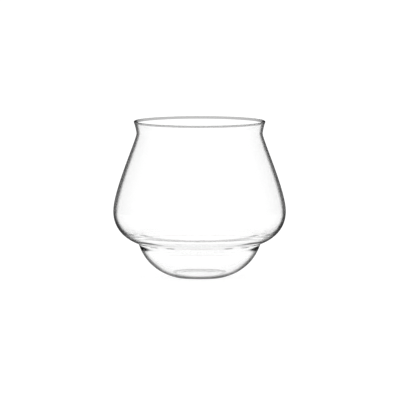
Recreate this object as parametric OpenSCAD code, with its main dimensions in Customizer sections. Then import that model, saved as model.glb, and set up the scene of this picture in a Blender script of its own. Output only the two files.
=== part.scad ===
// Tumbler with a flared lip, a tent-shaped bowl and a round foot that the cavity runs into, in clear glass.
// Millimetres, +Z up, origin at the centre of the flat base.
// Every piece is turned about the Z axis from a section drawn as [radius, height].

/* [Lip and neck] */
// Height of the glass, from the table to the top of the lip
height = 88.3; // [84:0.1:94]
// Outer diameter where the lip starts to round over
lip_d = 74; // [72:0.5:78]
// Slope of the flared lip, in degrees from the horizontal
lip_angle = 67; // [50:1:75]
// Outer diameter at the narrowest place, under the lip
neck_d = 71; // [66:0.1:71.4]
// How far the narrowest place lies below the top of the lip
neck_drop = 7; // [6:0.1:10]

/* [Bowl] */
// Outer diameter at the belly
belly_d = 97.2; // [92:0.1:104]
// Height of the belly
belly_z = 37.3; // [35:0.1:42]
// Outer diameter at the crease of the waist
waist_d = 68.6; // [66:0.1:72]
// Height of the crease
waist_z = 19; // [18:0.1:20]
// Slope of the shoulder where it runs into the crease
shoulder_angle = 20; // [10:1:28]

/* [Foot] */
// Slope of the foot's wall just under the crease
cup_angle = 72.5; // [66:0.1:78]
// Diameter of the flat base
base_d = 25.6; // [22:0.1:30]
// Slope of the foot's wall where it meets the flat base
base_angle = 11.4; // [8:0.1:16]

/* [Glass thickness] */
// Wall of the lip and the neck
lip_wall = 1; // [0.8:0.1:1.4]
// Wall of the belly
belly_wall = 1.3; // [1:0.1:1.8]
// Wall of the foot at the crease
cup_wall = 1.3; // [1:0.1:1.5]
// Glass of the flat base
base_wall = 1.6; // [1.2:0.1:2.4]

/* [Joint at the waist] */
// Diameter of the ridge inside the bowl, where its ledge turns down to the waist
ridge_d = 72; // [70:0.2:74]
// How far the ridge lies above the crease
ridge_rise = 3.8; // [3.2:0.1:4.4]
// Slope of the ledge where it reaches the ridge
ledge_angle = 10; // [4:1:16]
// Inner diameter of the sealing bead, at its lower edge
bead_d = 55.8; // [52:0.2:58]
// How far that edge lies below the crease
bead_drop = 3.9; // [3.2:0.1:4.4]
// How far the bead's underside is drawn up between that edge and the foot's wall
bead_dip = 0.2; // [0.1:0.1:0.4]

/* [Fullness of the curves] */
// Straightness of the lip
lip_pull = 2.2; // [1.5:0.1:3]
// Straightness of the neck, going up
neck_rise = 0.4; // [0.2:0.1:0.8]
// Straightness of the neck, going down
neck_fall = 3.5; // [3:0.1:6]
// Roundness of the belly, going up
belly_rise = 11.9; // [8:0.1:16]
// Roundness of the belly, going down
belly_fall = 8.4; // [6:0.1:9]
// Straightness of the shoulder
shoulder_pull = 10; // [7:0.1:11]
// Roundness of the foot
cup_pull = 16.8; // [15.5:0.1:17.5]
// Roundness of the foot's last stretch before the base
base_pull = 1.1; // [0.4:0.1:2]
// Roundness inside the bowl, below the belly
cavity_fall = 9; // [7:0.1:10]
// Straightness of the ledge inside the bowl
ledge_pull = 4.5; // [3:0.1:6]

/* [Hidden] */
$fn = 144;

// Cuts that each curve of a section is divided into
lip_cuts = 8;
round_cuts = 9;
tent_cuts = 20;
shoulder_cuts = 16;
cavity_cuts = 16;
cup_cuts = 28;
seal_cuts = 3;
dip_cuts = 4;

// A point at polar distance and angle from another
function away(from, distance, angle) = from + distance * [cos(angle), sin(angle)];

// A point on a cubic curve given as [start, start handle, end handle, end]
function curve_at(curve, t) =
    pow(1 - t, 3) * curve[0]
    + 3 * pow(1 - t, 2) * t * curve[1]
    + 3 * (1 - t) * pow(t, 2) * curve[2]
    + pow(t, 3) * curve[3];

// The direction of travel along that curve
function heading_at(curve, t) =
    pow(1 - t, 2) * (curve[1] - curve[0])
    + 2 * (1 - t) * t * (curve[2] - curve[1])
    + pow(t, 2) * (curve[3] - curve[2]);

// The unit direction into the glass, for a curve that runs down the outside
function inward(heading) = [heading[1], -heading[0]] / norm(heading);

// Points along a curve
function curve_points(curve, cuts) = [for (i = [0:cuts]) curve_at(curve, i / cuts)];

// Points along the inner face of a wall, whose thickness changes evenly along its outer curve
function inner_points(curve, wall_start, wall_end, cuts) = [
    for (i = [0:cuts])
        let (t = i / cuts, wall = wall_start + t * (wall_end - wall_start))
            curve_at(curve, t) + wall * inward(heading_at(curve, t))
];

// List helpers
function reversed(points) = [for (i = [len(points) - 1:-1:0]) points[i]];
function after_first(points) = [for (i = [1:len(points) - 1]) points[i]];
function up_to(points, last) = [for (i = [0:last]) points[i]];

// Places that the outer curves run through
lip = [lip_d / 2, height - lip_wall / 2 * (1 + cos(lip_angle))];
neck = [neck_d / 2, height - neck_drop];
belly = [belly_d / 2, belly_z];
waist = [waist_d / 2, waist_z];
base_edge = [base_d / 2, 0];

// Outer curves, from the lip down to the base
lip_curve = [lip, away(lip, lip_pull, lip_angle + 180), neck + [0, neck_rise], neck];
tent_curve = [neck, neck - [0, neck_fall], belly + [0, belly_rise], belly];
shoulder_curve = [belly, belly - [0, belly_fall], away(waist, shoulder_pull, shoulder_angle), waist];
cup_curve = [waist, away(waist, cup_pull, cup_angle + 180), away(base_edge, base_pull, base_angle), base_edge];

// Inner end of the mitre where the walls of the bowl and the foot meet
mitre = (cup_angle - shoulder_angle) / 2;
seam = away(waist, cup_wall / cos(mitre), 90 + shoulder_angle + mitre);

// Inside of the bowl, from the belly down to the ridge
ridge = [ridge_d / 2, waist_z + ridge_rise];
belly_inside = belly - [belly_wall, 0];
cavity_curve = [belly_inside, belly_inside - [0, cavity_fall], away(ridge, ledge_pull, ledge_angle), ridge];

// Half circle over the lip, from the inner face to the outer one
lip_inward = inward(heading_at(lip_curve, 0));
lip_centre = lip + lip_wall / 2 * lip_inward;
lip_round = [
    for (i = [0:round_cuts])
        away(lip_centre, lip_wall / 2, lip_angle + 90 - i * 180 / round_cuts)
];

// Inner face of the foot, from the crease down to the base
cup_inside = inner_points(cup_curve, cup_wall, base_wall, cup_cuts);

// Underside of the sealing bead, drawn up a little between its lower edge and the foot's wall
bead_edge = [bead_d / 2, waist_z - bead_drop];
dip_middle = (bead_edge + cup_inside[seal_cuts]) / 2 + [0, bead_dip];
dip_curve = [bead_edge, dip_middle, dip_middle, cup_inside[seal_cuts]];

// The bowl, from its lip to the mitre at the waist
module bowl() {
    outside = concat(
        curve_points(lip_curve, lip_cuts),
        after_first(curve_points(tent_curve, tent_cuts)),
        after_first(curve_points(shoulder_curve, shoulder_cuts))
    );
    inside = concat(
        inner_points(lip_curve, lip_wall, lip_wall, lip_cuts),
        after_first(inner_points(tent_curve, lip_wall, belly_wall, tent_cuts)),
        after_first(curve_points(cavity_curve, cavity_cuts))
    );
    section = concat(outside, [seam], reversed(after_first(inside)), up_to(lip_round, round_cuts - 1));
    color([0.80, 0.87, 0.90, 0.45]) rotate_extrude() polygon(section);
}

// The bead of glass that seals the bowl to the foot, laid inside the foot's wall under the mitre
module seal_ring() {
    section = concat(
        [seam],
        curve_points(dip_curve, dip_cuts),
        reversed(up_to(cup_inside, seal_cuts - 1))
    );
    color([0.35, 0.40, 0.43, 0.80]) rotate_extrude() polygon(section);
}

// The round foot with its flat base, mitred to the bowl at the crease
module foot_cup() {
    base_inside = [0, cup_inside[cup_cuts][1]];
    section = concat(
        curve_points(cup_curve, cup_cuts),
        [[0, 0], base_inside],
        reversed(cup_inside),
        [seam]
    );
    color([0.72, 0.80, 0.84, 0.45]) rotate_extrude() polygon(section);
}

bowl();
seal_ring();
foot_cup();
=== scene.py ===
"""Looks of a clear glass tumbler: a blown bowl, a round foot and the bead that seals them inside."""

import logging
import math
from dataclasses import dataclass, field
from enum import Enum
from typing import ClassVar

import bmesh
import bpy
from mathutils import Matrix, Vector
from mathutils.geometry import interpolate_bezier


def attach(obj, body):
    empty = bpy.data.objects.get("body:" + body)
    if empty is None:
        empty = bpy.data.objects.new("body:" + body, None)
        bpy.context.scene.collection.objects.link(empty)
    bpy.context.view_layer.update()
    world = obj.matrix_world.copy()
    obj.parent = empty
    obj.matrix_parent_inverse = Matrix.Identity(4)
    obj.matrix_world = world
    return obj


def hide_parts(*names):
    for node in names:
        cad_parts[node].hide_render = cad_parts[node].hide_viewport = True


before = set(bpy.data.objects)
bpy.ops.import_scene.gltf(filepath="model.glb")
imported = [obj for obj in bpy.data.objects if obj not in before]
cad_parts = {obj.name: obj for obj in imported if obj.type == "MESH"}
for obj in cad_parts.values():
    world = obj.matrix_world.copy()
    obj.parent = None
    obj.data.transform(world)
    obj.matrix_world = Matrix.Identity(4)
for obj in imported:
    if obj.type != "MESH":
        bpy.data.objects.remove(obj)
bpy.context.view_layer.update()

MM = 0.001
BODY = "root"
ROUNDING_POINTS = 8
Path2D = list[Vector]

log = logging.getLogger("tumbler")


class Skin(Enum):
    """The kinds of glass surface, each with its own material, most of them with painted shade."""

    LIP = "lip"
    WALL = "wall"
    SHOULDER = "shoulder"
    OVERHANG = "overhang"
    SEAM = "seam"
    UNDERSIDE = "underside"
    CREASE = "crease"
    FOOT = "foot"
    INSIDE = "inside"
    HOLLOW = "hollow"
    FOLD = "fold"
    BEND = "bend"
    LEDGE = "ledge"
    EDGE = "edge"
    BASE_RING = "base ring"
    BASE_EDGE = "base edge"
    PLAIN = "plain"


# Pairs of edge-on angle and how much light passes; where that is below 1 the glass carries painted shade.
Tones = tuple[tuple[float, float], ...]
CLEAR: Tones = ((0.0, 1.0), (1.0, 1.0))


@dataclass(frozen=True)
class Band:
    """A ring round the glass where the painted edge shade sets in sooner or later.

    Attributes:
        height: Middle of the ring, above the table.
        reach: How far above and below that it fades out.
        sooner: How much sooner the painted shade sets in, on the scale from head on to edge on.
        deeper: How much deeper the painted shade goes, as an exponent over 1.
    """

    height: float
    reach: float
    sooner: float
    deeper: float = 0.0


@dataclass(frozen=True)
class Stroke:
    """A painted dark line on clear glass, where light meets it at certain angles, standing in for a line
    that real glass shows by bending dark surroundings into view.

    Attributes:
        angles: Where it sets in, is darkest from, is darkest to and ends, from 0 head on to 1 edge on.
        tone: How much light passes where the painted line is darkest.
    """

    angles: tuple[float, float, float, float]
    tone: float

    def pairs(self) -> Tones:
        """Gives its pairs of angle and tone."""
        return tuple(zip(self.angles, (1.0, self.tone, self.tone, 1.0)))


def clear_with(*strokes: Stroke) -> Tones:
    """Gives the tones of clear glass with painted dark strokes in it.

    Args:
        strokes: The strokes, in order from head on to edge on.

    Returns:
        The pairs of angle and tone.
    """
    return (CLEAR[0], *(pair for stroke in strokes for pair in stroke.pairs()), CLEAR[-1])


@dataclass(frozen=True)
class PaintedShadeGlass:
    """Clear glass with painted shade: its colour darkens where light meets it edge on, standing in for the
    dark surroundings that real glass bends into view at its edges.

    Attributes:
        name: Name of the material.
        from_air: The painted shade for light from the air: pairs of how edge-on light meets the surface,
            from 0 to 1, and how much of it passes.
        from_glass: The same painted shade for light that meets the surface from within the glass.
        bands: Rings where the painted shade from the air sets in sooner or later.
        INDEX: How strongly the glass bends light.
        EVEN_BLEND: The blend at which the layer weight is one less the cosine of the angle.
    """

    name: str
    from_air: Tones = CLEAR
    from_glass: Tones = CLEAR
    bands: tuple[Band, ...] = ()

    INDEX: ClassVar[float] = 1.52
    EVEN_BLEND: ClassVar[float] = 0.5

    def make(self) -> bpy.types.Material:
        """Builds the material.

        Returns:
            The new material, with its nodes in place.
        """
        material = bpy.data.materials.new(self.name)
        material.use_nodes = True
        tree = material.node_tree
        tree.nodes.clear()
        output = tree.nodes.new("ShaderNodeOutputMaterial")
        glass = tree.nodes.new("ShaderNodeBsdfGlass")
        glass.inputs["IOR"].default_value = self.INDEX
        glass.inputs["Roughness"].default_value = 0.0
        glass.inputs["Color"].default_value = (1.0, 1.0, 1.0, 1.0)
        tree.links.new(glass.outputs["BSDF"], output.inputs["Surface"])
        # Painted shade: the tones darken the glass's colour by the angle of the light.
        if self.from_air != CLEAR or self.from_glass != CLEAR:
            tree.links.new(self._edge_tone(tree), glass.inputs["Color"])
        return material

    def _edge_tone(self, tree: bpy.types.NodeTree) -> bpy.types.NodeSocket:
        """Paints shade into the glass's colour by the angle and the side that light meets it from.

        Args:
            tree: The material's nodes.

        Returns:
            The colour that the glass passes, with the painted shade.
        """
        side = tree.nodes.new("ShaderNodeNewGeometry")
        weight = tree.nodes.new("ShaderNodeLayerWeight")
        weight.inputs["Blend"].default_value = self.EVEN_BLEND
        facing = weight.outputs["Facing"]
        mix = tree.nodes.new("ShaderNodeMix")
        mix.data_type = "RGBA"
        tree.links.new(side.outputs["Backfacing"], mix.inputs["Factor"])
        tree.links.new(self._air_tone(tree, facing), mix.inputs["A"])
        tree.links.new(self._ramp(tree, facing, self.from_glass), mix.inputs["B"])
        return mix.outputs["Result"]

    def _air_tone(self, tree: bpy.types.NodeTree, facing: bpy.types.NodeSocket) -> bpy.types.NodeSocket:
        """Gives the painted shade for light from the air, with the bands worked in.

        Args:
            tree: The material's nodes.
            facing: How edge-on the light comes.

        Returns:
            The tone.
        """
        place = tree.nodes.new("ShaderNodeTexCoord")
        parts = tree.nodes.new("ShaderNodeSeparateXYZ")
        tree.links.new(place.outputs["Object"], parts.inputs["Vector"])
        edge_on: bpy.types.NodeSocket | float = facing
        depth: bpy.types.NodeSocket | float = 1.0
        for band in self.bands:
            above = self._sum(tree, "SUBTRACT", parts.outputs["Z"], band.height)
            share = tree.nodes.new("ShaderNodeMapRange")
            tree.links.new(self._sum(tree, "ABSOLUTE", above), share.inputs["Value"])
            share.inputs["From Max"].default_value = band.reach
            share.inputs["To Min"].default_value = 1.0
            share.inputs["To Max"].default_value = 0.0
            edge_on = self._sum(tree, "MULTIPLY_ADD", share.outputs["Result"], band.sooner, edge_on)
            depth = self._sum(tree, "MULTIPLY_ADD", share.outputs["Result"], band.deeper, depth)
        return self._sum(tree, "POWER", self._ramp(tree, edge_on, self.from_air), depth)

    @staticmethod
    def _sum(
        tree: bpy.types.NodeTree, kind: str, *terms: bpy.types.NodeSocket | float
    ) -> bpy.types.NodeSocket:
        """Adds one step of arithmetic to the nodes.

        Args:
            tree: The material's nodes.
            kind: The operation.
            terms: What it works on, each a socket or a number.

        Returns:
            The result.
        """
        node = tree.nodes.new("ShaderNodeMath")
        node.operation = kind
        for socket, term in zip(node.inputs, terms):
            if isinstance(term, float):
                socket.default_value = term
            else:
                tree.links.new(term, socket)
        return node.outputs["Value"]

    @staticmethod
    def _ramp(
        tree: bpy.types.NodeTree, facing: bpy.types.NodeSocket, tones: Tones
    ) -> bpy.types.NodeSocket:
        """Turns pairs of angle and tone into a colour ramp.

        Args:
            tree: The material's nodes.
            facing: How edge-on the light comes.
            tones: The pairs, from head on to edge on.

        Returns:
            The ramp's colour.
        """
        ramp = tree.nodes.new("ShaderNodeValToRGB")
        stops = ramp.color_ramp.elements
        ready = len(stops)
        for number, (edge_on, tone) in enumerate(tones):
            stop = stops[number] if number < ready else stops.new(edge_on)
            stop.position = edge_on
            stop.color = (tone, tone, tone, 1.0)
        tree.links.new(facing, ramp.inputs["Fac"])
        return ramp.outputs["Color"]


# Painted shade on the foot's slope, and a painted dark stroke in the bowl's hollow.
FOOT_SLOPE: Tones = ((0.0, 1.0), (0.45, 0.99), (0.57, 0.95), (0.64, 0.86), (0.70, 0.55), (0.75, 0.22))
HOLLOW_STROKE = Stroke((0.25, 0.262, 0.272, 0.285), 0.4)

# Painted shade for each kind of surface: dark outlines and strokes that stand in for the dark surroundings
# real glass bends into view; the studio round the glass is evenly white.
PAINTED_SHADES: dict[Skin, PaintedShadeGlass] = {
    Skin.LIP: PaintedShadeGlass(
        "lip_painted_shade", ((0.0, 0.50), (0.5, 0.45), (0.7, 0.32), (0.8, 0.15), (0.9, 0.04), (1.0, 0.02))
    ),
    Skin.WALL: PaintedShadeGlass(
        "wall_painted_shade",
        ((0.0, 1.0), (0.15, 0.965), (0.30, 0.935), (0.50, 0.88), (0.58, 0.855), (0.63, 0.835), (0.66, 0.79),
         (0.685, 0.64), (0.72, 0.35), (0.765, 0.13), (1.0, 0.10)),
    ),
    Skin.SHOULDER: PaintedShadeGlass(
        "shoulder_painted_shade",
        ((0.0, 1.0), (0.15, 0.985), (0.30, 0.96), (0.45, 0.93), (0.58, 0.895), (0.66, 0.84), (0.70, 0.64),
         (0.755, 0.17), (0.80, 0.10), (1.0, 0.08)),
        bands=(Band(26.5 * MM, 4.0 * MM, -0.03),),
    ),
    Skin.OVERHANG: PaintedShadeGlass(
        "overhang_painted_shade",
        ((0.0, 1.0), (0.50, 0.985), (0.64, 0.94), (0.69, 0.90), (0.745, 0.6), (0.79, 0.3), (0.82, 0.18),
         (0.86, 0.11), (1.0, 0.10)),
    ),
    Skin.SEAM: PaintedShadeGlass(
        "seam_painted_shade",
        ((0.0, 1.0), (0.45, 0.96), (0.60, 0.92), (0.67, 0.84), (0.695, 0.35), (0.72, 0.22), (0.80, 0.20),
         (0.86, 0.07), (1.0, 0.05)),
    ),
    Skin.UNDERSIDE: PaintedShadeGlass(
        "underside_painted_shade", ((0.0, 1.0), (0.84, 0.95), (0.875, 0.7), (0.905, 0.15), (1.0, 0.08))
    ),
    # Painted dark strokes at the crease under the waist, and painted shade towards edge on.
    Skin.CREASE: PaintedShadeGlass(
        "crease_painted_shade",
        ((0.0, 0.82), (0.17, 0.88), (0.19, 0.42), (0.235, 0.42), (0.255, 0.93), (0.34, 0.93), (0.37, 0.5),
         (0.46, 0.5), (0.50, 0.95), (0.7, 0.95), (0.8, 0.3), (1.0, 0.15)),
    ),
    Skin.FOOT: PaintedShadeGlass(
        "foot_painted_shade",
        (*FOOT_SLOPE, (0.80, 0.15), (1.0, 0.13)),
        bands=(
            # Painted shade: this ring makes the edge shade set in sooner and deeper round 17 mm, which
            # paints the two dark wedges under the waist.
            Band(17.0 * MM, 1.6 * MM, 0.16, 1.2),
            Band(0.0, 4.5 * MM, 0.06, -0.62),
            Band(4.2 * MM, 4.2 * MM, -0.05),
        ),
    ),
    Skin.INSIDE: PaintedShadeGlass("polished_inside"),
    # Painted dark strokes on the inside of the bowl above the waist: in the hollow, fold, bend and ledge.
    Skin.HOLLOW: PaintedShadeGlass("hollow_painted_stroke", from_glass=clear_with(HOLLOW_STROKE)),
    Skin.FOLD: PaintedShadeGlass(
        "fold_painted_strokes",
        from_glass=clear_with(Stroke((0.213, 0.218, 0.228, 0.234), 0.5), HOLLOW_STROKE),
    ),
    Skin.BEND: PaintedShadeGlass(
        "bend_painted_stroke", from_glass=clear_with(Stroke((0.215, 0.226, 0.244, 0.256), 0.65))
    ),
    Skin.LEDGE: PaintedShadeGlass(
        "ledge_painted_stroke", from_glass=clear_with(Stroke((0.231, 0.243, 0.266, 0.280), 0.6))
    ),
    # Painted shade on the bead's rounded lower edge, seen from within the glass.
    Skin.EDGE: PaintedShadeGlass("bead_edge_painted_shade", from_glass=((0.0, 0.75), (1.0, 0.7))),
    # Painted shade round the foot of the base; from within the glass it paints the dark arc of the base.
    Skin.BASE_RING: PaintedShadeGlass(
        "base_ring_painted_shade",
        (*FOOT_SLOPE, (0.84, 0.12), (0.93, 0.10), (0.97, 0.15), (1.0, 0.17)),
        ((0.0, 0.86), (0.08, 0.80), (0.13, 0.42), (0.25, 0.42), (0.27, 1.0), (1.0, 1.0)),
        bands=(Band(0.0, 5.0 * MM, 0.06, -0.32),),
    ),
    # A painted dark stroke on the flat base's outer edge, seen from within the glass.
    Skin.BASE_EDGE: PaintedShadeGlass(
        "base_edge_painted_stroke", from_glass=clear_with(Stroke((0.245, 0.28, 0.36, 0.38), 0.4))
    ),
    Skin.PLAIN: PaintedShadeGlass("plain_glass"),
}


def painted_shade_of(skin: Skin) -> bpy.types.Material:
    """Gives the glass material, with its painted shade, of a kind of surface, making it the first time."""
    shaded_glass = PAINTED_SHADES[skin]
    return bpy.data.materials.get(shaded_glass.name) or shaded_glass.make()


def at(radius: float, height: float) -> Vector:
    """Gives a point of the section, in the plane of X and Z."""
    return Vector((radius, 0.0, height))


def away(point: Vector, distance: float, degrees: float) -> Vector:
    """Steps from a point of the section.

    Args:
        point: Where to start.
        distance: How far to go.
        degrees: The direction, from level outwards, turning upwards.

    Returns:
        The point reached.
    """
    turn = math.radians(degrees)
    return point + distance * at(math.cos(turn), math.sin(turn))


def arc(centre: Vector, radius: float, start: float, end: float, cuts: int) -> Path2D:
    """Gives the points along an arc of the section.

    Args:
        centre: Middle of the arc.
        radius: Its radius.
        start: Angle of its first point, in degrees.
        end: Angle of its last point.
        cuts: How many parts it is cut into.

    Returns:
        The points, both ends included.
    """
    return [away(centre, radius, start + (end - start) * step / cuts) for step in range(cuts + 1)]


def inner_face(path: Path2D, wall_start: float, wall_end: float) -> Path2D:
    """Gives the inner face of a wall whose outer face runs down the section.

    Args:
        path: The outer face.
        wall_start: Thickness of the glass at its first point.
        wall_end: Thickness at its last point.

    Returns:
        One point for each point of the outer face.
    """
    last = len(path) - 1
    inner = []
    for number, point in enumerate(path):
        along = path[min(number + 1, last)] - path[max(number - 1, 0)]
        inward = at(along.z, -along.x).normalized()
        wall = wall_start + (wall_end - wall_start) * number / last
        inner.append(point + wall * inward)
    return inner


def rounded(before: Vector, corner: Vector, after: Vector, reach: float) -> Path2D:
    """Rounds a corner of the section.

    Args:
        before: A point that the outline comes from.
        corner: The sharp corner.
        after: A point that the outline goes on to.
        reach: How far from the corner the rounding starts and ends.

    Returns:
        The points of the rounding, both ends included.
    """
    start = corner + reach * (before - corner).normalized()
    end = corner + reach * (after - corner).normalized()
    return interpolate_bezier(start, corner, corner, end, ROUNDING_POINTS)


def cut(path: Path2D, height: float) -> tuple[Path2D, Path2D]:
    """Cuts a path that runs down the section.

    Args:
        path: The path.
        height: Where to cut it.

    Returns:
        The part above the cut and the part below it.
    """
    number = next(place for place, point in enumerate(path) if point.z <= height)
    upper = path[number - 1]
    lower = path[number]
    point = upper.lerp(lower, (upper.z - height) / (upper.z - lower.z))
    return path[:number] + [point], [point] + path[number:]


@dataclass(frozen=True)
class Section:
    """Sizes of the glass's section, and the curves that the pieces share.

    A place is a pair of radius and height, and an angle is in degrees from level. A pull, a rise or a fall
    is how far a curve holds its direction at one of its ends.
    """

    height: float = 88.3 * MM
    lip_radius: float = 37.0 * MM
    lip_angle: float = 67.0
    lip_wall: float = 1.0 * MM
    lip_pull: float = 2.2 * MM
    lip_points: int = 14
    neck: tuple[float, float] = (35.5 * MM, 81.3 * MM)
    neck_rise: float = 0.4 * MM
    neck_fall: float = 3.5 * MM
    belly: tuple[float, float] = (48.6 * MM, 37.3 * MM)
    belly_wall: float = 1.3 * MM
    belly_rise: float = 11.9 * MM
    belly_fall: float = 8.4 * MM
    waist: tuple[float, float] = (34.3 * MM, 19.0 * MM)
    shoulder_angle: float = 20.0
    shoulder_pull: float = 10.0 * MM
    shoulder_points: int = 36
    cup_angle: float = 72.5
    cup_wall: float = 1.3 * MM
    cup_pull: float = 16.8 * MM
    base_radius: float = 12.8 * MM
    base_angle: float = 11.4
    base_wall: float = 1.6 * MM
    base_pull: float = 1.1 * MM
    cavity_fall: float = 9.0 * MM
    ridge: tuple[float, float] = (36.0 * MM, 22.8 * MM)
    ledge_angle: float = 10.0
    ledge_pull: float = 4.1 * MM
    bead_tip: tuple[float, float] = (27.9 * MM, 15.1 * MM)
    edge_round: float = 0.4 * MM
    seam_lap: float = 0.04 * MM
    long_points: int = 48

    def lip(self) -> Path2D:
        """Draws the outer face of the flared lip.

        Returns:
            Its points, from the top down to the neck.
        """
        drop = self.lip_wall / 2 * (1 + math.cos(math.radians(self.lip_angle)))
        top = at(self.lip_radius, self.height - drop)
        neck = at(*self.neck)
        pull = away(top, self.lip_pull, self.lip_angle + 180)
        return interpolate_bezier(top, pull, neck + at(0, self.neck_rise), neck, self.lip_points)

    def tent(self) -> Path2D:
        """Draws the outer face of the tent-shaped wall.

        Returns:
            Its points, from the neck down to the belly.
        """
        neck = at(*self.neck)
        belly = at(*self.belly)
        fall = neck - at(0, self.neck_fall)
        return interpolate_bezier(neck, fall, belly + at(0, self.belly_rise), belly, self.long_points)

    def shoulder(self) -> Path2D:
        """Draws the outer face of the shoulder.

        Returns:
            Its points, from the belly down to the crease.
        """
        belly = at(*self.belly)
        waist = at(*self.waist)
        fall = belly - at(0, self.belly_fall)
        pull = away(waist, self.shoulder_pull, self.shoulder_angle)
        return interpolate_bezier(belly, fall, pull, waist, self.shoulder_points)

    def cup(self) -> Path2D:
        """Draws the outer face of the foot.

        Returns:
            Its points, from the crease down to the flat base.
        """
        waist = at(*self.waist)
        base = at(self.base_radius, 0.0)
        pull = away(waist, self.cup_pull, self.cup_angle + 180)
        last = away(base, self.base_pull, self.base_angle)
        return interpolate_bezier(waist, pull, last, base, self.long_points)

    def seam(self) -> Vector:
        """Finds the inner end of the mitre between the bowl and the foot.

        Returns:
            That point.
        """
        turn = self.cup_angle - self.shoulder_angle
        length = self.cup_wall / math.cos(math.radians(turn / 2))
        return away(at(*self.waist), length, 90 + self.shoulder_angle + turn / 2)

    def cavity(self) -> Path2D:
        """Draws the inside of the bowl below the belly.

        Returns:
            Its points, from the belly down to the ridge over the waist.
        """
        belly = at(self.belly[0] - self.belly_wall, self.belly[1])
        ridge = away(at(*self.ridge), self.edge_round, self.ledge_angle)
        fall = belly - at(0, self.cavity_fall)
        pull = away(ridge, self.ledge_pull, self.ledge_angle)
        return interpolate_bezier(belly, fall, pull, ridge, self.long_points)

    def cup_inside(self) -> Path2D:
        """Gives the inner face of the foot, from the mitre down to the base."""
        return [self.seam()] + inner_face(self.cup(), self.cup_wall, self.base_wall)


@dataclass
class TurnedGlass:
    """A piece of glass turned about the upright axis, stretch by stretch.

    Attributes:
        section: Sizes and curves of the glass.
        node: The solid that the piece stands for.
        slot: The slot of its material; not used.
        wedges: How many wedges make the full turn.
        steps: How many faces lie across a wedge.
        crease_angle: The angle in degrees from which an edge stays sharp.
        skins: Its kinds of surface, in the order of its materials.
        MERGE: How close points lie that are one.
    """

    section: Section
    node: str
    slot: str
    wedges: int = 12
    steps: int = 16
    crease_angle: float = 9.0
    skins: list[Skin] = field(default_factory=list)

    MERGE: ClassVar[float] = 0.0002 * MM

    def stretches(self) -> list[tuple[Skin, Path2D]]:
        """Gives the closed outline of the piece as stretches, each with its kind of surface."""
        raise NotImplementedError

    def build(self) -> bpy.types.Object:
        """Spins the outline, closes it and makes it a piece of the object.

        Returns:
            The new object, riding on the glass's body.
        """
        mesh = bmesh.new()
        for skin, path in self.stretches():
            stretch = self._turn(skin, path)
            mesh.from_mesh(stretch)
            bpy.data.meshes.remove(stretch)
        bmesh.ops.remove_doubles(mesh, verts=mesh.verts, dist=self.MERGE)
        bmesh.ops.dissolve_degenerate(mesh, edges=mesh.edges, dist=self.MERGE)
        bmesh.ops.recalc_face_normals(mesh, faces=mesh.faces)
        self._crease(mesh)
        data = bpy.data.meshes.new(self.node + "_glass")
        mesh.to_mesh(data)
        mesh.free()
        return self._dress(data)

    def _turn(self, skin: Skin, path: Path2D) -> bpy.types.Mesh:
        """Spins one stretch of the outline, as a wedge that is then copied round.

        Args:
            skin: The kind of surface that it makes.
            path: The points of the stretch.

        Returns:
            The surface of revolution.
        """
        if skin not in self.skins:
            self.skins.append(skin)
        mesh = bmesh.new()
        verts = [mesh.verts.new(point) for point in path]
        edges = [mesh.edges.new(pair) for pair in zip(verts, verts[1:])]
        wedge = math.tau / self.wedges
        around = {"cent": (0.0, 0.0, 0.0), "axis": (0.0, 0.0, 1.0), "dvec": (0.0, 0.0, 0.0)}
        bmesh.ops.spin(mesh, geom=verts + edges, angle=wedge, steps=self.steps, **around)
        for face in mesh.faces:
            face.material_index = self.skins.index(skin)
            face.smooth = True
        geom = mesh.verts[:] + mesh.edges[:] + mesh.faces[:]
        copies = self.wedges - 1
        bmesh.ops.spin(mesh, geom=geom, angle=wedge * copies, steps=copies, use_duplicate=True, **around)
        surface = bpy.data.meshes.new("stretch")
        mesh.to_mesh(surface)
        mesh.free()
        return surface

    def _crease(self, mesh: bmesh.types.BMesh) -> None:
        """Keeps the real corners of the glass sharp.

        Args:
            mesh: The closed piece.
        """
        limit = math.radians(self.crease_angle)
        for edge in mesh.edges:
            edge.smooth = edge.calc_face_angle(0.0) < limit

    def _dress(self, data: bpy.types.Mesh) -> bpy.types.Object:
        """Gives the mesh its glass materials with their painted shade, and its place in the object.

        Args:
            data: The finished mesh.

        Returns:
            The piece.
        """
        for skin in self.skins:
            data.materials.append(painted_shade_of(skin))
        piece = bpy.data.objects.new(self.node + "_glass", data)
        bpy.context.scene.collection.objects.link(piece)
        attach(piece, BODY)
        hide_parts(self.node)
        log.info("%s: %d faces, stands for %s", piece.name, len(data.polygons), self.node)
        return piece


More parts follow.
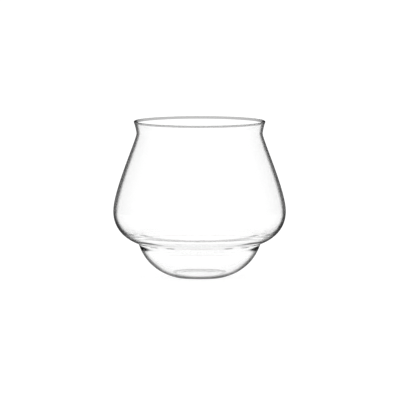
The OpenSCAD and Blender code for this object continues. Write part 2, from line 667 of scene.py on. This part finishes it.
@dataclass
class Bowl(TurnedGlass):
    """The blown bowl: lip, tent-shaped wall, shoulder and the ridge over the waist.

    The heights are where one painted shade gives way to the next, down the outside and then down the
    inside. The painted shade of the lip takes in the first few points of the inner face.
    """

    node: str = "bowl"
    slot: str = "bowl_glass"
    rim_points: int = 2
    rim_cuts: int = 12
    overhang_top: float = 25.5 * MM
    seam_top: float = 22.0 * MM
    underside_top: float = 20.55 * MM
    fold_top: float = 27.1 * MM
    fold_foot: float = 26.2 * MM
    hollow_foot: float = 26.0 * MM
    bend_top: float = 25.9 * MM
    ledge_top: float = 25.0 * MM

    def stretches(self) -> list[tuple[Skin, Path2D]]:
        """Draws the bowl's outline.

        Returns:
            Its stretches, from the lip down the outside and back up the inside.
        """
        size = self.section
        lip = size.lip()
        lip_inside = inner_face(lip, size.lip_wall, size.lip_wall)
        tent_inside = inner_face(size.tent(), size.lip_wall, size.belly_wall)
        middle = (lip[0] + lip_inside[0]) / 2
        over = arc(middle, size.lip_wall / 2, size.lip_angle + 90, size.lip_angle - 90, self.rim_cuts)
        over[0] = lip_inside[0]
        over[-1] = lip[0]
        lip_inside[-1] = tent_inside[0]
        shoulder, rest = cut(size.shoulder(), self.overhang_top)
        overhang, rest = cut(rest, self.seam_top)
        seam, underside = cut(rest, self.underside_top)
        cavity = size.cavity()
        tent_inside[-1] = cavity[0]
        hollow, rest = cut(cavity, self.fold_top)
        fold, rest = cut(rest, self.fold_foot)
        below, rest = cut(rest, self.hollow_foot)
        strip, rest = cut(rest, self.bend_top)
        bend, ledge = cut(rest, self.ledge_top)
        ridge = rounded(size.seam(), at(*size.ridge), cavity[-1], size.edge_round)
        return [
            (Skin.LIP, lip_inside[self.rim_points::-1] + over[1:] + lip[1:2]),
            (Skin.WALL, lip[1:] + size.tent()[1:]),
            (Skin.SHOULDER, shoulder),
            (Skin.OVERHANG, overhang),
            (Skin.SEAM, seam),
            (Skin.UNDERSIDE, underside),
            (Skin.PLAIN, [at(*size.waist), size.seam()]),
            (Skin.PLAIN, [size.seam(), ridge[0]]),
            (Skin.PLAIN, ridge),
            (Skin.LEDGE, ledge),
            (Skin.BEND, bend),
            (Skin.INSIDE, strip),
            (Skin.HOLLOW, below),
            (Skin.FOLD, fold),
            (Skin.HOLLOW, hollow),
            (Skin.INSIDE, lip_inside[self.rim_points:] + tent_inside[1:]),
        ]


@dataclass
class FootCup(TurnedGlass):
    """The round foot with its flat base.

    The heights are where one painted shade gives way to the next down the outside, and edge_inside is the
    radius where that happens on the flat base.
    """

    node: str = "foot_cup"
    slot: str = "foot_glass"
    crease_foot: float = 18.3 * MM
    ring_top: float = 0.75 * MM
    ring_foot: float = 0.06 * MM
    edge_inside: float = 10.5 * MM

    def stretches(self) -> list[tuple[Skin, Path2D]]:
        """Draws the foot's outline.

        Returns:
            Its stretches: the outside from the crease down, the base, the floor, the inside and the mitre.
        """
        size = self.section
        outside = size.cup()
        inside = size.cup_inside()
        lap = away(at(0, 0), size.seam_lap, size.shoulder_angle)
        outside[0] = outside[0] + lap
        inside[0] = inside[0] + lap
        crease, rest = cut(outside, self.crease_foot)
        cup, rest = cut(rest, self.ring_top)
        ring, contact = cut(rest, self.ring_foot)
        floor = at(0.0, inside[-1].z)
        edge = at(self.edge_inside, 0.0)
        return [
            (Skin.CREASE, crease),
            (Skin.FOOT, cup),
            (Skin.BASE_RING, ring),
            (Skin.FOOT, contact),
            (Skin.BASE_EDGE, [outside[-1], edge]),
            (Skin.PLAIN, [edge, at(0.0, 0.0)]),
            (Skin.PLAIN, [inside[-1], floor]),
            (Skin.INSIDE, inside),
            (Skin.PLAIN, [inside[0], outside[0]]),
        ]


@dataclass
class SealRing(TurnedGlass):
    """The bead of sealing glass inside the foot's wall, under the mitre.

    It lies along the first few points of that wall, and its underside is drawn up by the dip.
    """

    node: str = "seal_ring"
    slot: str = "seal_glass"
    covered: int = 6
    dip: float = 0.1 * MM
    dip_points: int = 10

    def stretches(self) -> list[tuple[Skin, Path2D]]:
        """Draws the bead's outline.

        Returns:
            Its stretches: along the foot's wall, the hollow underside, the lower edge and the inner face.
        """
        size = self.section
        lapped = inner_face(size.cup(), size.cup_wall - size.seam_lap, size.base_wall)
        top = size.seam()
        wall = [top] + lapped[: self.covered]
        tip = at(*size.bead_tip)
        middle = (wall[-1] + tip) / 2 + at(0, self.dip)
        edge = rounded(middle, tip, top, size.edge_round)
        hollow = interpolate_bezier(wall[-1], middle, middle, edge[0], self.dip_points)
        return [
            (Skin.PLAIN, wall),
            (Skin.PLAIN, hollow),
            # The bead's rounded lower edge carries painted shade.
            (Skin.EDGE, edge),
            (Skin.PLAIN, [edge[-1], top]),
        ]


@dataclass(frozen=True)
class Studio:
    """The pale floor, the soft light all round and the camera.

    The camera's rise is its angle over the top of the glass, in degrees, and its shift is a share of the
    frame's width.
    """

    floor_radius: float = 5.0
    floor_sides: int = 96
    floor_gap: float = 0.05 * MM
    floor_paint: float = 0.25
    floor_roughness: float = 0.9
    floor_glow: float = 0.85
    sky_light: float = 1.02
    camera_distance: float = 6.0
    camera_rise: float = 4.3
    aim_height: float = 43.64 * MM
    frame_width: float = 225.2 * MM
    frame_shift: float = 0.0011
    bounces: int = 160

    SENSOR: ClassVar[float] = 36.0

    def build(self, section: Section) -> None:
        """Sets up the whole studio.

        Args:
            section: The glass that the camera looks at.
        """
        self._floor()
        self._sky()
        self._camera(section)
        self._light_paths()

    def _floor(self) -> None:
        """Lays the pale floor, a hair under the glass so that its base shows as glass against air."""
        mesh = bmesh.new()
        bmesh.ops.create_circle(mesh, cap_ends=True, segments=self.floor_sides, radius=self.floor_radius)
        bmesh.ops.translate(mesh, verts=mesh.verts, vec=(0.0, 0.0, -self.floor_gap))
        data = bpy.data.meshes.new("floor")
        mesh.to_mesh(data)
        mesh.free()
        material = bpy.data.materials.new("pale_floor")
        material.use_nodes = True
        paint = material.node_tree.nodes["Principled BSDF"]
        grey = self.floor_paint
        paint.inputs["Base Color"].default_value = (grey, grey, grey, 1.0)
        paint.inputs["Roughness"].default_value = self.floor_roughness
        paint.inputs["Specular IOR Level"].default_value = 0.0
        paint.inputs["Emission Color"].default_value = (1.0, 1.0, 1.0, 1.0)
        paint.inputs["Emission Strength"].default_value = self.floor_glow
        data.materials.append(material)
        floor = bpy.data.objects.new("floor", data)
        bpy.context.scene.collection.objects.link(floor)

    def _sky(self) -> None:
        """Surrounds the glass with soft, even, white light."""
        world = bpy.data.worlds.new("studio")
        bpy.context.scene.world = world
        world.use_nodes = True
        light = world.node_tree.nodes["Background"]
        light.inputs["Color"].default_value = (1.0, 1.0, 1.0, 1.0)
        light.inputs["Strength"].default_value = self.sky_light

    def _camera(self, section: Section) -> None:
        """Places the camera a little above the lip.

        Args:
            section: The glass that it looks at.
        """
        data = bpy.data.cameras.new("camera")
        camera = bpy.data.objects.new("camera", data)
        rise = self.camera_distance * math.tan(math.radians(self.camera_rise))
        camera.location = (0.0, -self.camera_distance, section.height + rise)
        sight = Vector((0.0, 0.0, self.aim_height)) - camera.location
        camera.rotation_euler = sight.to_track_quat("-Z", "Y").to_euler()
        data.sensor_width = self.SENSOR
        data.lens = self.SENSOR * sight.length / self.frame_width
        data.shift_x = self.frame_shift
        bpy.context.scene.collection.objects.link(camera)
        bpy.context.scene.camera = camera

    def _light_paths(self) -> None:
        """Lets light cross all the walls of the glass, and keeps white white."""
        scene = bpy.context.scene
        scene.cycles.max_bounces = self.bounces
        scene.cycles.transmission_bounces = self.bounces
        scene.cycles.glossy_bounces = self.bounces
        scene.view_settings.view_transform = "Standard"


def main() -> None:
    """Builds the glass piece by piece, then the studio around it."""
    logging.basicConfig(level=logging.INFO, format="%(name)s: %(message)s")
    section = Section()
    for kind in (Bowl, SealRing, FootCup):
        kind(section).build()
    Studio().build(section)


if __name__ == "__main__":
    main()
